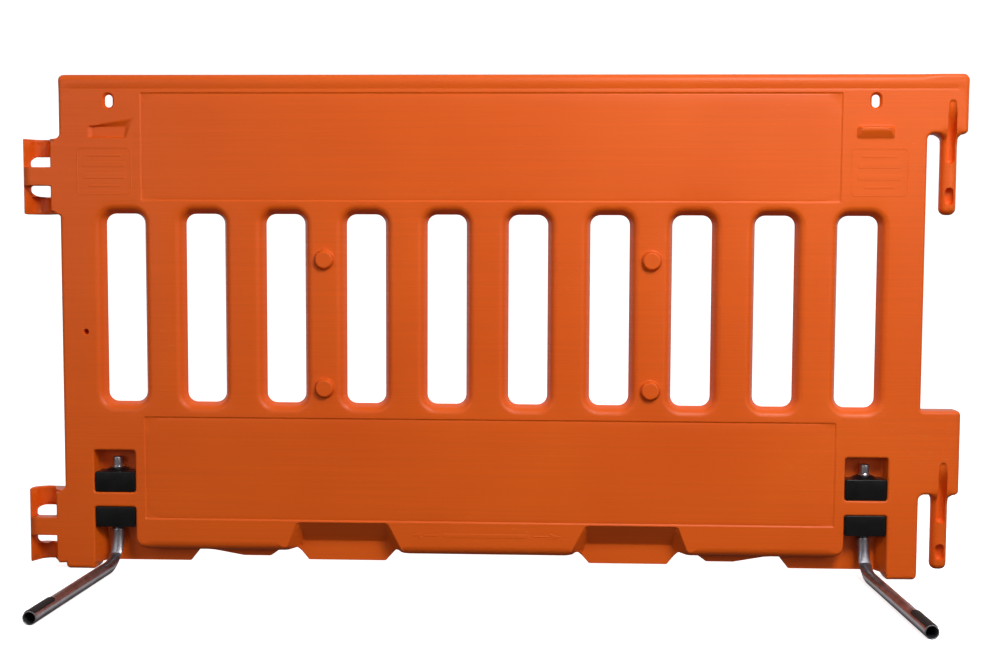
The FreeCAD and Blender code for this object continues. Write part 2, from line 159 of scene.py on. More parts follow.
def box_outline(cx, cz, width, height, radius, **options):
    x, z = width / 2, height / 2
    return rounded([(cx - x, cz - z, radius), (cx + x, cz - z, radius),
                    (cx + x, cz + z, radius), (cx - x, cz + z, radius)], **options)


def soften(values, times):
    """Values along a closed outline, each evened out with its neighbours."""
    for _ in range(times):
        values = (np.roll(values, 1) + 2 * values + np.roll(values, -1)) / 4
    return values


def circle(cx, cz, radius, parts=32):
    t = np.arange(parts) * 2 * math.pi / parts
    return np.stack((cx + radius * np.cos(t), cz + radius * np.sin(t)), 1)


def offset(loop, distance):
    """The outline moved to its left by a distance, which may differ from point to point."""
    ahead = np.roll(loop, -1, 0) - loop
    ahead /= np.linalg.norm(ahead, axis=1)[:, None]
    left = np.stack((-ahead[:, 1], ahead[:, 0]), 1)
    both = left + np.roll(left, 1, 0)
    both *= (2.0 / np.maximum((both ** 2).sum(1), 0.5))[:, None]
    return loop + both * np.broadcast_to(distance, len(loop))[:, None]


def nearest(points, loop, values=None):
    """Signed distance (positive to the outline's left) and the outline's values there."""
    a, b = loop, np.roll(loop, -1, 0)
    d = b - a
    length2 = (d ** 2).sum(1)
    area = 0.5 * np.sum(a[:, 0] * b[:, 1] - b[:, 0] * a[:, 1])
    best = np.empty(len(points))
    seg = np.empty(len(points), int)
    part = np.empty(len(points))
    inside = np.empty(len(points), bool)
    for first in range(0, len(points), BATCH):
        now = slice(first, first + BATCH)
        p = points[now]
        rel = p[:, None, :] - a[None]
        t = np.clip((rel * d).sum(2) / length2, 0.0, 1.0)
        off = rel - t[..., None] * d
        dist = (off ** 2).sum(2)
        k = dist.argmin(1)
        rows = np.arange(len(p))
        best[now] = np.sqrt(dist[rows, k])
        seg[now] = k
        part[now] = t[rows, k]
        over = (a[None, :, 1] > p[:, None, 1]) != (b[None, :, 1] > p[:, None, 1])
        cross = a[:, 0] + (p[:, None, 1] - a[:, 1]) * d[:, 0] / np.where(d[:, 1] == 0, 1, d[:, 1])
        inside[now] = (over & (cross > p[:, None, 0])).sum(1) % 2 == 1
    sign = np.where(inside == (area > 0), 1.0, -1.0)
    found = {}
    for name, v in (values or {}).items():
        found[name] = v[seg] * (1 - part) + np.roll(v, -1)[seg] * part
    return best * sign, found


def step_down(face, floor, s, fillet, wall, hollow):
    """Height across an edge at s = 0 where the face drops to a floor: a rounded edge,
    a wall as wide as `wall`, and a rounded foot."""
    depth = np.maximum(floor - face, 0.0)
    fillet = np.minimum(fillet, 0.6 * depth) + 1e-6
    hollow = np.minimum(hollow, 0.35 * depth) + 1e-6
    edge = face + fillet - np.sqrt(np.maximum(
        fillet ** 2 - np.clip(s + fillet, 0.0, fillet) ** 2, 0.0))
    side = face + fillet + np.clip(s / wall, 0.0, 1.0) * (depth - fillet - hollow)
    rest = hollow - np.clip(s - wall, 0.0, hollow)
    foot = floor - hollow + np.sqrt(np.maximum(hollow ** 2 - rest ** 2, 0.0))
    return np.where(s < 0.0, edge, np.where(s < wall, side, foot))


def step_rings(fillet, wall, hollow):
    """The distances at which an edge made by step_down needs points."""
    rings = [-fillet - 1.5] + [-fillet + fillet * math.sin(t) for t in RIM_ARCS]
    rings += [wall + hollow * (1 - math.cos(t)) for t in RIM_ARCS[::2]] + [wall + hollow + 1.5]
    return rings


def rim_parts(depth, radius, draft):
    """Where the rounding of a rim starts and ends, as distances in from the outline."""
    end = (radius + (depth - radius) * np.sin(draft)) / np.cos(draft)
    return end - radius * np.cos(draft), end


def rim_height(d, depth, radius, draft):
    """How far a rim stands off the parting line, d in from the outline."""
    radius = np.minimum(radius, 0.97 * depth)
    start, end = rim_parts(depth, radius, draft)
    wall = d / np.tan(draft)
    arc = depth - radius + np.sqrt(np.maximum(radius ** 2 - (end - d) ** 2, 0.0))
    return np.where(d < start, wall, np.where(d < end, arc, depth))


# -- the wall's outlines

def wall_outline():
    """The wall's silhouette, anticlockwise, so that the plastic is on the left."""
    skirt = [(185, 44, 3), (210, 16, 4), (370, 16, 4), (393, 44, 3), (432, 36, 6), (450, 23, 8),
             (505, 23, 10), (567, 34, 10), (598, 36, 6), (618, SKIRT_LOW, 4)]
    right = [(174, CENTRE_LIP, 5)] + skirt
    right += [(POCKET_X[1], SKIRT_LOW, 1.5), (POCKET_X[1], 0, 5), (WALL_END, 0, 10)]
    left = [(-x, z, r) for x, z, r in reversed(right)]
    hooks = []
    for tip, under, top in HOOKS:
        inner, outer = AXIS_X - PRONG_R, AXIS_X + PRONG_R
        hooks += [(WALL_END, under, 11), (inner, under, 11), (inner, tip, 13), (outer, tip, 13),
                  (outer, under, SHOULDER_R), (HOOK_OUT, under, SHOULDER_R)]
        hooks += [(HOOK_OUT, top, 9), (WALL_END, top, 6)] if top < TOP else [(HOOK_OUT, top, 13)]
    ends = []
    for low in reversed(KNUCKLES):
        high = low + KNUCKLE_H
        foot = 6 if low > 100 else 1
        ends += [(-WALL_END, high, 8), (-KNUCKLE_OUT, high, 5), (-KNUCKLE_OUT, low, 5),
                 (-WALL_END, low, foot)]
    left[0] = (-WALL_END, 0, 9)
    return rounded(left + right + hooks + [(-WALL_END, TOP, 13)] + ends)


def rim_radius(loop):
    """Front and back rim radii along the silhouette."""
    x, z = loop[:, 0], loop[:, 1]
    radius = np.full(len(loop), RIM)
    radius[z > TOP - 1] = TOP_RIM
    skirt = (np.abs(x) < POCKET_X[1]) & (np.abs(x) > LIP_END) & (z < SKIRT_TOP)
    radius[skirt] = SKIRT_RIM
    post = (np.abs(x) > POCKET_X[1] - 1) & (np.abs(x) < POCKET_X[1] + 6) & (z < 14)
    radius[post] = POST_RIM
    radius[x < -WALL_END - 1] = FINE_RIM
    radius[x > WALL_END + 2] = HOOK_SIDE_RIM
    radius[(x > HOOK_OUT - 8) & (z < TOP - 1)] = HOOK_RIM
    for tip, under, _ in HOOKS:
        on_prong = (np.abs(x - AXIS_X) < PRONG_R + 1) & (z > tip - 1) & (z < under - 4)
        radius[on_prong] = PRONG_R
    front = radius.copy()
    front[(np.abs(x) < LIP_END) & (z < SKIRT_TOP)] = LIP_RIM
    return soften(front, 2), soften(radius, 2)


def arc(cx, cz, rx, rz, start, stop, parts):
    """Points along part of an ellipse, between two angles in degrees."""
    t = np.radians(np.linspace(start, stop, parts + 1))
    return np.column_stack((cx + rx * np.cos(t), cz + rz * np.sin(t)))


def gap_outline(low, upper):
    """A see-through gap of a knuckle, clockwise: its outer end is drawn out towards the
    back shell, and tight beside the front shell."""
    inner, outer = -AXIS_X + BORE_R, -AXIS_X - BORE_R - 1.5
    long, tall, tight = 24.0, GAP - 7.0, 7.0
    loop = np.concatenate((
        arc(inner - 2, 2, 2, 2, 0, -90, 3), arc(outer + tight, tight, tight, tight, 270, 180, 5),
        arc(outer + long, GAP - tall, long, tall, 180, 90, 9),
        arc(inner - 2, GAP - 2, 2, 2, 90, 0, 3)))
    gaps = np.linalg.norm(np.diff(loop, axis=0, append=loop[:1]), axis=1)
    loop = loop[gaps > 0.05]
    if upper:
        return loop + (0, low + SHELL + GAP + MID_SHELL)
    return (loop * (1, -1) + (0, low + SHELL + GAP))[::-1]


def fixing_outline(side):
    radius = FIXING_SIZE[0] / 2 - 0.01
    return box_outline(side * FIXING_X, FIXING_Z, *FIXING_SIZE, radius)[::-1]


def silhouettes():
    """Each outline of the plastic, with its rim radii and draft."""
    outer = wall_outline()
    front, back = rim_radius(outer)
    loops = [(outer, front, back, EDGE_DRAFT)]
    height, middle = SLOT_Z[1] - SLOT_Z[0], sum(SLOT_Z) / 2

    def add_hole(loop, rim, draft):
        rims = np.full(len(loop), rim)
        loops.append((loop, rims, rims, draft))

    for i in range(SLOT_COUNT):
        cx = (i - (SLOT_COUNT - 1) / 2) * SLOT_PITCH
        slot = box_outline(cx, middle, SLOT_WIDTH, height, SLOT_R, step=24)
        add_hole(slot[::-1], SLOT_RIM, SLOT_DRAFT)
    for side in (-1, 1):
        add_hole(fixing_outline(side), HOLE_RIM, HOLE_DRAFT)
    for low in KNUCKLES:
        for upper in (False, True):
            add_hole(gap_outline(low, upper), GAP_RIM, EDGE_DRAFT)
    return loops


def under_outline(side):
    """Where the front face is cut away: lower pocket, under the lip, and the scoop."""
    x0, x1 = POCKET_X
    (top_in, top_out, top_z), (low_in, low_out, low_z) = SCOOP_TOP, SCOOP_LOW
    slope = (top_in - low_in) / (top_z - low_z)
    deep = -12.0
    corners = [(x1, deep, 0.5), (x1, BAR_LOW, POCKET_R), (x0, BAR_LOW, POCKET_R),
               (x0, LIP_Z, LIP_CORNER), (low_out, low_z, 20), (top_out, top_z, 10),
               (top_in, top_z, 10), (low_in - slope * (low_z - deep), deep, 0.5)]
    if side < 0:
        corners = [(-x, z, r) for x, z, r in reversed(corners)]
    return rounded(corners, step=10)


def under_values(loop):
    """Face rounding and wall width along the edge of the cut-away."""
    x, z = np.abs(loop[:, 0]), loop[:, 1]
    rim, side, _ = CUT_EDGE
    fillet = np.full(len(loop), rim)
    lip = (x > SCOOP_LOW[1] + 2) & (x < POCKET_X[0] - 8)
    fillet[lip & (z < 52)] = LIP_RIM
    corner = (x >= POCKET_X[0] - LIP_CORNER) & (x < POCKET_X[0] + 1) & (z < LIP_Z + LIP_CORNER)
    fillet[corner] = rim + (LIP_RIM - rim) * smooth(POCKET_X[0], POCKET_X[0] - 22, x[corner])
    fillet[(x < SCOOP_LOW[1] + 2) & (x > 150) & (z > LIP_Z + 3)] = SCOOP_RIM
    wall = np.full(len(loop), side)
    outer = x > POCKET_X[1] - 1
    wall[outer] = side + POCKET_FLARE * smooth(96, 80, z[outer])
    draft = np.where((x < SCOOP_LOW[1] + 8) & (z < SCOOP_TOP[2] - 4), SCOOP_DRAFT, 0.0)
    return {"fillet": soften(fillet, 3), "wall": soften(wall, 3), "draft": soften(draft, 3)}


def pocket_outline(side):
    x, z = sum(POCKET_X) / 2, sum(POCKET_Z) / 2
    return box_outline(side * x, z, POCKET_X[1] - POCKET_X[0], POCKET_Z[1] - POCKET_Z[0], POCKET_R)


def ledge_outline():
    return box_outline(LEDGE_X, LEDGE_Z, *LEDGE_SIZE, 5.0, step=10)


def flute_spans():
    """Each flute on the hooks, as (lowest z, highest z, z where it reaches its full depth)."""
    spans = []
    for tip, under, _ in HOOKS:
        spans.append((under - 59, under + 68, under + 2))
        spans.append((tip + 19, tip + 54, tip + 54))
    return spans


# -- heights of both faces

def knuckle_shells(x, z, open_in_front):
    """The side that a half shell leaves open, or the plain face where there is none. The
    opening flares towards the face, and takes in the see-through gaps on both sides."""
    y = np.full(len(x), -FACE)
    dx = x + AXIS_X
    bore = np.sqrt(np.maximum(BORE_R ** 2 - dx ** 2, 0.0))
    flare = np.where(dx < 0, FLARE_OUT, FLARE_IN)
    inside = BORE_R + flare - np.abs(dx)
    for low in KNUCKLES:
        first, last = low + SHELL, low + KNUCKLE_H - SHELL
        if open_in_front:
            here = (z < first + GAP) | (z > last - GAP)
        else:
            here = (z > first) & (z < last)
        here &= (inside > -5) & (z > low - 2) & (z < low + KNUCKLE_H + 2)
        y[here] = step_down(-FACE, bore[here], inside[here], FLARE_RIM, flare[here], 0.01)
    return y


def plain_face(x, z):
    """What both faces share: the rail's bulge, the sheeting recesses and the prongs."""
    y = np.full(len(x), -FACE)
    y -= RAIL_BULGE * smooth(RAIL_LOW, RAIL_HIGH, z)
    y += GROOVE * np.exp(-((z - RAIL_LOW) / RAIL_GROOVE) ** 2)
    for z0, z1 in SHEET_Z:
        sx = SHEET_X - np.abs(x)
        sz = np.minimum(z - z0, z1 - z)
        round_off = SHEET_CORNER - np.hypot(SHEET_CORNER - sx, SHEET_CORNER - sz)
        in_corner = (sx < SHEET_CORNER) & (sz < SHEET_CORNER)
        inside = np.where(in_corner, round_off, np.minimum(sx, sz))
        y += SHEET_DEPTH * smooth(-1.2, 1.2, inside)
        y += GROOVE * np.exp(-((inside - 2.4) / SHEET_GROOVE) ** 2)
    back_from = NOSE_R - np.clip(x + KNUCKLE_OUT, 0, NOSE_R)
    nose = 0.9 + np.sqrt(NOSE_R ** 2 - back_from ** 2)
    y = np.maximum(y, np.where(x < NOSE_R - KNUCKLE_OUT, -nose, -99.0))
    for tip, under, _ in HOOKS:
        near = smooth(25, 16, np.abs(x - AXIS_X)) * smooth(under + 14, under - 22, z)
        y += (FACE - PRONG_R) * near * (x > WALL_END + 4) * (z > tip - 5)
    return y


def scoop_floor(x, z):
    """The floor of the cut-away: the skirt, and the slope behind a scoop's top edge."""
    in_scoop = (np.abs(x) < SCOOP_LOW[1] + 12) & (np.abs(x) > 120)
    slope = -FACE + ramp((SCOOP_TOP[2] - z) * SCOOP_SLOPE, 1.5)
    slope = SKIRT_FACE - ramp(SKIRT_FACE - slope, 1.2)
    return np.where(in_scoop, slope, SKIRT_FACE)


def add_ledge(y, x, z, points):
    """The right ledge: proud at its top, and sloping away to its foot and ends."""
    near = (np.abs(x - LEDGE_X) < 60) & (np.abs(z - LEDGE_Z) < 40)
    s = nearest(points[near], ledge_outline())[0]
    from_end = LEDGE_SIZE[0] / 2 + LEDGE_SLIP - np.abs(x[near] - LEDGE_X)
    low, high = LEDGE_RISE
    tilt = np.minimum((z[near] - LEDGE_Z - low) / (high - low), from_end / LEDGE_END)
    proud = -FACE - LEDGE_H * (LEDGE_FOOT + (1 - LEDGE_FOOT) * np.clip(tilt, 0, 1))
    y[near] = np.minimum(y[near], step_down(proud, -FACE, -s - LEDGE_SLIP, *LEDGE_EDGE))


def cut_ledge_recess(y, x, z):
    """The left recess, for a facing panel's ledge. Its top and inner end flare outwards."""
    u, v = x + LEDGE_X, z - LEDGE_Z
    left, right, low, high = RECESS_FLOOR
    rim_left, rim_right, rim_low, rim_high = RECESS_RIM
    top = rim_high + (u - left) * RECESS_TOP
    end = rim_right + (v - low) * RECESS_END
    into = np.minimum((u - rim_left) / (left - rim_left), (v - rim_low) / (low - rim_low))
    into = np.minimum(into, (top - v) / np.maximum(top - high, 0.5))
    into = np.minimum(into, (end - u) / np.maximum(end - right, 0.5))
    y += RECESS_DEPTH * (0.5 * np.clip(into, 0, 1) + 0.5 * smooth(0, 1, into))


def front_face(x, z, points):
    """The front, with everything that stands on it or is cut into it except the flutes."""
    y = plain_face(x, z)
    shells = knuckle_shells(x, z, True)
    y = np.where(shells > -FACE, np.maximum(shells, y), y)
    add_ledge(y, x, z, points)
    cut_ledge_recess(y, x, z)
    for side in (-1, 1):
        for bz in BOSS_Z:
            r = np.hypot(x - side * BOSS_X, z - bz) - BOSS_TOP_R
            near = r < 8
            y[near] = step_down(-FACE - BOSS_H, -FACE, r[near], *BOSS_EDGE)
        s = nearest(points, pocket_outline(side))[0]
        near = s > -8
        y[near] = step_down(-FACE, SKIRT_FACE - 0.6, s[near], *POCKET_EDGE)
        loop = under_outline(side)
        s, v = nearest(points, loop, under_values(loop))
        near = s > -LIP_RIM - 2
        floor = scoop_floor(x, z)[near]
        width = v["wall"][near] + v["draft"][near] * (floor + FACE)
        cut = step_down(-FACE, floor, s[near], v["fillet"][near], width, CUT_EDGE[2])
        y[near] = np.maximum(y[near], cut)
    r = np.hypot(x - VENT_X, z - VENT_Z) - VENT_R
    near = r < 3
    y[near] = step_down(-FACE, -FACE + VENT_DEPTH, -r[near], *VENT_EDGE)
    return y


def back_face(x, z, points):
    """The back, as a positive distance behind the mid-plane."""
    y = np.minimum(-plain_face(x, z), FACE)
    shells = knuckle_shells(x, z, False)
    y = np.where(shells > -FACE, np.minimum(-shells, y), y)
    for side in (-1, 1):
        for bz in BOSS_Z:
            r = np.hypot(x - side * BOSS_X, z - bz) - BOSS_TOP_R - SOCKET_ROOM - BOSS_DRAFT
            near = r < 6
            y[near] = -step_down(-FACE, -FACE + BOSS_H + SOCKET_ROOM, -r[near], *SOCKET_EDGE)
        away = nearest(points, fixing_outline(side))[0]
        near = away < FUNNEL + 6
        pit = step_down(-FACE, FUNNEL_FLOOR, FUNNEL - away[near], 4.0, FUNNEL - 5.0, 3.0)
        y[near] = np.minimum(y[near], -pit)
    return y


def flutes(x, z):
    """The flutes' floor on the front of the hooks, far in front where there is none."""
    y = np.full(len(x), -99.0)
    for low, high, full in flute_spans():
        sink = np.maximum(np.maximum(low + FLUTE_R - z, z - (high - FLUTE_R)), 0.0)
        rise = smooth(full, high - FLUTE_R, z) if high > full else 0.0
        centre = FLUTE_Y + (FLUTE_START - FLUTE_Y) * rise
        span = FLUTE_R ** 2 - sink ** 2 - (x - AXIS_X) ** 2
        y = np.maximum(y, np.where(span > 0, centre + np.sqrt(np.maximum(span, 0.0)), -99.0))
    return y


# -- the wall's mesh

class Plan:
    """Points and edges in a plane, to be triangulated, starting with the silhouettes."""

    def __init__(self, loops):
        self.loops = loops
        self.points = []
        self.edges = []
        for loop in loops:
            self.add(loop[0], np.ones(len(loop[0]), bool))

    def depth(self, points):
        """Distance in from the nearest silhouette, negative outside the plastic."""
        return np.min([nearest(points, loop[0])[0] for loop in self.loops], axis=0)

    def add(self, points, keep, closed=True):
        first = len(self.points)
        index = np.cumsum(keep) - 1 + first
        self.points += [tuple(p) for p in points[keep]]
        last = len(points) if closed else len(points) - 1
        for i in range(last):
            j = (i + 1) % len(points)
            if keep[i] and keep[j]:
                self.edges.append((int(index[i]), int(index[j])))

    def add_grid(self, xs, zs, clear):
        """Loose points on a grid, kept where they are far enough inside the plastic."""
        points = np.array([(x, z) for x in xs for z in zs])
        self.points += [tuple(p) for p in points[self.depth(points) > clear]]

    def add_rings(self, loop, distances, clear=0.6):
        """Rings to the left of an outline, kept where they are inside the plastic."""
        for d in distances:
            ring = offset(loop, d)
            true = np.abs(nearest(ring, loop)[0])
            keep = true > np.abs(np.broadcast_to(d, len(loop))) - 0.05
            keep &= self.depth(ring) > clear
            self.add(ring, keep)

    def add_lines(self, lines, clear, step):
        for x0, z0, x1, z1 in lines:
            parts = max(2, math.ceil(math.hypot(x1 - x0, z1 - z0) / step))
            t = np.linspace(0, 1, parts + 1)[:, None]
            line = np.array((x0, z0)) * (1 - t) + np.array((x1, z1)) * t
            self.add(line, self.depth(line) > clear, closed=False)


def plan_rims(plan):
    """Rings over the rounding of the silhouettes' rims."""
    for loop, front, back, draft in plan.loops:
        big = np.maximum(front, back)
        reach = np.where(big > PRONG_R - 2, np.minimum(FACE, big + 0.5), FACE)
        end = rim_parts(reach, big, draft)[1]
        rings = [end - big * math.cos(draft + (math.pi / 2 - draft) * a / RIM_ARCS[-1])
                 for a in RIM_ARCS]
        rings.append(end + 1.5)
        for ring in rings:
            moved = offset(loop, ring)
            keep = np.abs(nearest(moved, loop)[0]) > ring - 0.05
            keep &= plan.depth(moved) > ring - 0.05
            plan.add(moved, keep)


def plan_mouldings(plan):
    """Bosses, fixing holes, pockets, ledges, the cut-away, the vent, sheeting and rail."""
    for side in (-1, 1):
        for bz in BOSS_Z:
            for grow in (-9, -4.8, -3.2, -2.2, -1.2, -0.4, 0, 2.5, 3.2, 4.7, 6):
                ring = circle(side * BOSS_X, bz, BOSS_TOP_R + grow)
                plan.add(ring, plan.depth(ring) > 15.5)
        plan.add_rings(fixing_outline(side), (5, 7, 9, 11.5, 14, 16, 18, 19.5, 21, 22.5, 24))
        plan.add_rings(pocket_outline(side), step_rings(*POCKET_EDGE))
        loop = under_outline(side)
        values = under_values(loop)
        fillet, wall = values["fillet"], values["wall"]
        rings = [-fillet - 1.5] + [-fillet * (1 - math.sin(a)) for a in RIM_ARCS]
        rings += [wall + h for h in (0, 0.4, 1.5, 3.0, 4.5)]
        plan.add_rings(loop, rings)
    plan.add_rings(ledge_outline(), (4.5, 2.0, 0.6, 0.0, -0.7, -1.4, -2.2, -3.0, -3.8, -4.8,
                                     -5.8, -7.5, -10.5, -14.0, -18.0))
    plan.add_grid(LEDGE_X + np.arange(-33, 34, 3.0), LEDGE_Z + np.arange(-7.5, 8, 3.0), 0)
    plan.add_grid(np.arange(-46, 57, 2.2) - LEDGE_X, LEDGE_Z + np.arange(-14, 30, 1.9), 0)
    for r in (-3, -1.4, -0.8, 0, 1.2, 2.6):
        ring = circle(VENT_X, VENT_Z, VENT_R + r, 20)
        plan.add(ring, plan.depth(ring) > 1)
    for z0, z1 in SHEET_Z:
        sheet = box_outline(0, (z0 + z1) / 2, 2 * SHEET_X, z1 - z0, SHEET_CORNER, step=28)
        plan.add_rings(sheet, (-1.8, -1.2, -0.5, 0.2, 1.2, 2.4, 3.4, 4.8), clear=9)
    rail = [RAIL_LOW + s for s in (-5, -2.5, -1, 0, 1, 2.5, 4.5, 6, 8, 10, 12)]
    plan.add_lines([(-WALL_END, z, HOOK_OUT, z) for z in rail], clear=3, step=28)


def plan_knuckles(plan):
    """Lines along the knuckles' bores, and close pairs where one shell ends."""
    inner = (0, 0.4, 1.6, 3.4, 6, 9, 13)
    for low in KNUCKLES:
        xs = [-AXIS_X] + [-AXIS_X + side * (BORE_R - s) for s in inner for side in (-1, 1)]
        xs += [-KNUCKLE_OUT + s for s in (0.5, 1.5, 3, 5.5, 8.5, 12, 16, 20, 24)]
        for side, flare in ((-1, FLARE_OUT), (1, FLARE_IN)):
            turn = (-5, -3.5, -2.2, -1.1, -0.4, 0, flare / 2)
            xs += [-AXIS_X + side * (BORE_R + flare - s) for s in turn]
        plan.add_lines([(x, low, x, low + KNUCKLE_H) for x in xs], clear=0.3, step=8)
        for level in (SHELL, SHELL + GAP, SHELL + GAP + MID_SHELL, KNUCKLE_H - SHELL):
            for dz in (-0.4, 0.4):
                z = low + level + dz
                plan.add_lines([(-KNUCKLE_OUT, z, -WALL_END, z)], clear=0.3, step=2.5)


def plan_hooks(plan):
    """Rings round the flutes, and lines under the prongs' shoulders."""
    for low, high, _ in flute_spans():
        middle = (low + high) / 2
        for part in (1.22, 1.08, 1.02, 0.97, 0.9, 0.78, 0.6, 0.36, 0.12):
            half = part * FLUTE_R
            tall = high - low - 2 * (FLUTE_R - half)
            grown = box_outline(AXIS_X, middle, 2 * half, tall, half - 0.01, step=8)
            plan.add(grown, plan.depth(grown) > 1)
    for _, under, _ in HOOKS:
        for dz in (-22, -16, -10, -5, 0, 5, 10, 15):
            plan.add_lines([(WALL_END + 8, under + dz, HOOK_OUT, under + dz)], clear=1, step=6)


def plan_scoops(plan):
    """Lines along the slopes, and a fine grid."""
    slope = [SCOOP_TOP[2] + s for s in (-1.8, -0.6, 0.6)]
    slope += [SCOOP_FLOOR_Z + s for s in (-1.5, 0, 1.5, 4)]
    for side in (-1, 1):
        plan.add_lines([(side * 160, z, side * 425, z) for z in slope], clear=2, step=4)
    x0, x1, z1 = SCOOP_LOW[0] - 5, SCOOP_LOW[1] + 5, SCOOP_TOP[2]
    for side in (-1, 1):
        plan.add_grid(side * np.arange(x0, x1, 4.3), np.arange(20.0, z1 - 2, 4.1), 4)


def plan_fill(plan):
    """A grid over the flat parts, finer on the hooks."""
    for _, under, top in HOOKS:
        plan.add_grid(np.arange(WALL_END - 20, HOOK_OUT, 6.1), np.arange(under - 10, top, 6.3), 10)
    shift = 0.37
    plan.add_grid(np.arange(-WALL_END, WALL_END, COARSE) + shift,
                  np.arange(12.0, TOP, COARSE) + shift, 17)


def wall_plan():
    """All the points that the two faces of the wall need."""
    plan = Plan(silhouettes())
    for add_points in (plan_rims, plan_mouldings, plan_knuckles, plan_hooks, plan_scoops,
                       plan_fill):
        add_points(plan)
    return plan


def used_only(points, faces):
    """Drop the points that no face uses."""
    used = np.unique(faces)
    renumber = np.full(len(points), -1)
    renumber[used] = np.arange(len(used))
    return points[used], renumber[faces]


def triangulate(plan):
    """Triangles of the plastic's plan, and which points lie on its silhouettes."""
    points = [Vector(p) for p in plan.points]
    out = geometry.delaunay_2d_cdt(points, plan.edges, [], 0, 0.02, False)
    verts = np.array([tuple(v) for v in out[0]])
    tris = np.array([f for f in out[2] if len(f) == 3])
    centres = verts[tris].mean(1)
    verts, tris = used_only(verts, tris[plan.depth(centres) > 0])
    edges = np.sort(np.concatenate((tris[:, :2], tris[:, 1:], tris[:, ::2])), 1)
    unique, count = np.unique(edges, axis=0, return_counts=True)
    rim = np.zeros(len(verts), bool)
    rim[unique[count == 1].ravel()] = True
    return verts, tris, rim


def wall_heights(plan, verts, rim):
    """y of the front and of the back at every point of the plan."""
    x, z = verts[:, 0], verts[:, 1]
    front, back = front_face(x, z, verts), back_face(x, z, verts)
    depth = np.maximum((back - front) / 2, 0.2)
    middle = (back + front) / 2
    lift = np.array((depth, depth))
    for loop, r_front, r_back, draft in plan.loops:
        d, radii = nearest(verts, loop, {"front": r_front, "back": r_back})
        d = np.where(rim, np.maximum(d, 0.0), d)
        lift = np.minimum(lift, [rim_height(d, depth, v, draft) for v in radii.values()])
    lift[:, rim] = 0.0
    front = np.maximum(middle - lift[0], flutes(x, z))
    front[rim] = middle[rim]
    return front, middle + lift[1]


def add_object(name, data):
    obj = bpy.data.objects.new(name, data)
    bpy.context.scene.collection.objects.link(obj)
    return obj


def mesh_object(name, verts, faces):
    """A mesh object from millimetres about the wall's mid-plane."""
    mesh = bpy.data.meshes.new(name)
    co = np.asarray(verts, float) * MM
    co[:, 1] += WALL_Y * MM
    mesh.from_pydata(co.tolist(), [], [list(map(int, f)) for f in faces])
    mesh.validate()
    mesh.shade_smooth()
    mesh.set_sharp_from_angle(angle=SHARP)
    return add_object(name, mesh)


def moulded_wall():
    plan = wall_plan()
    verts, tris, rim = triangulate(plan)
    front, back = wall_heights(plan, verts, rim)
    count = len(verts)
    back_index = np.where(rim, np.arange(count), np.arange(count) + count)
    co = np.concatenate((np.stack((verts[:, 0], front, verts[:, 1]), 1),
                         np.stack((verts[:, 0], back, verts[:, 1]), 1)))
    faces = np.concatenate((tris, back_index[tris][:, ::-1]))
    return mesh_object("moulded_wall", *used_only(co, faces))


# -- small moulded pieces

def slab_mesh(outline, holes, rings, top, bottom, grid):
    """A closed piece over a plan: an upper and a lower surface with walls between them.
    top and bottom give heights from points and their distance in from the edge."""
    plan = Plan([(outline,)] + [(h,) for h in holes])
    for loop in plan.loops:
        plan.add_rings(loop[0], rings, clear=0.8 * min(rings))
    low, high = outline.min(0), outline.max(0)
    plan.add_grid(np.arange(low[0], high[0], grid), np.arange(low[1], high[1], grid),
                  max(rings) + 1)
    verts, tris, rim = triangulate(plan)
    d = np.where(rim, 0.0, plan.depth(verts))
    count = len(verts)
    faces = [tuple(t) for t in tris] + [tuple(t[::-1] + count) for t in tris]
    edges = np.concatenate((tris[:, :2], tris[:, 1:], tris[:, [2, 0]]))
    ends = {(a, b) for a, b in edges.tolist()}
    faces += [(b, a, a + count, b + count) for a, b in ends if (b, a) not in ends]
    return np.concatenate((verts, verts)), np.concatenate((top(verts, d), bottom(verts, d))), faces


def round_edge(d, radius):
    """How far a rounded edge has dropped, d in from it."""
    return radius - np.sqrt(np.maximum(radius ** 2 - (radius - np.clip(d, 0, radius)) ** 2, 0))


def edge_rings(radius, parts=4):
    return [radius * (1 - math.cos(math.radians(90 * k / parts))) for k in range(1, parts + 1)]


def joined(name, parts):
    """One object from several (verts, faces) parts."""
    verts, faces = [], []
    for v, f in parts:
        faces += [[i + len(verts) for i in face] for face in f]
        verts += [tuple(p) for p in v]
    return mesh_object(name, verts, faces)


# The feet's pivots, bearing blocks, tubes, push nuts and grip strips
PIVOT_X, SPLAY = 764.0, 2.5
BLOCK_X, BLOCK_Y = (720.65, 805.05), (-25.0, 13.15)
UPPER_BLOCK, LOWER_BLOCK = (161.1, 203.0), (88.7, 129.9)
BLOCK_CORNER, BLOCK_EDGE = 5.5, 1.6
COLLAR = (28.5, 14.5, 6.0)
SHAFT_R, TUBE_R, TUBE_WALL = 9.525, 12.7, 2.0
SHAFT_TOP, SHAFT_CAP, NECK = 231.0, 6.0, (78.7, 88.0)
BEND_R, FOOT_REACH = 66.0, 425.0
NUT_R, NUT_T, NUT_TEETH = 12.8, 1.2, 8
STRIP_T, STRIP_LENGTH, STRIP_ARC, STRIP_EDGE = 1.6, 88.0, 100.0, 0.7


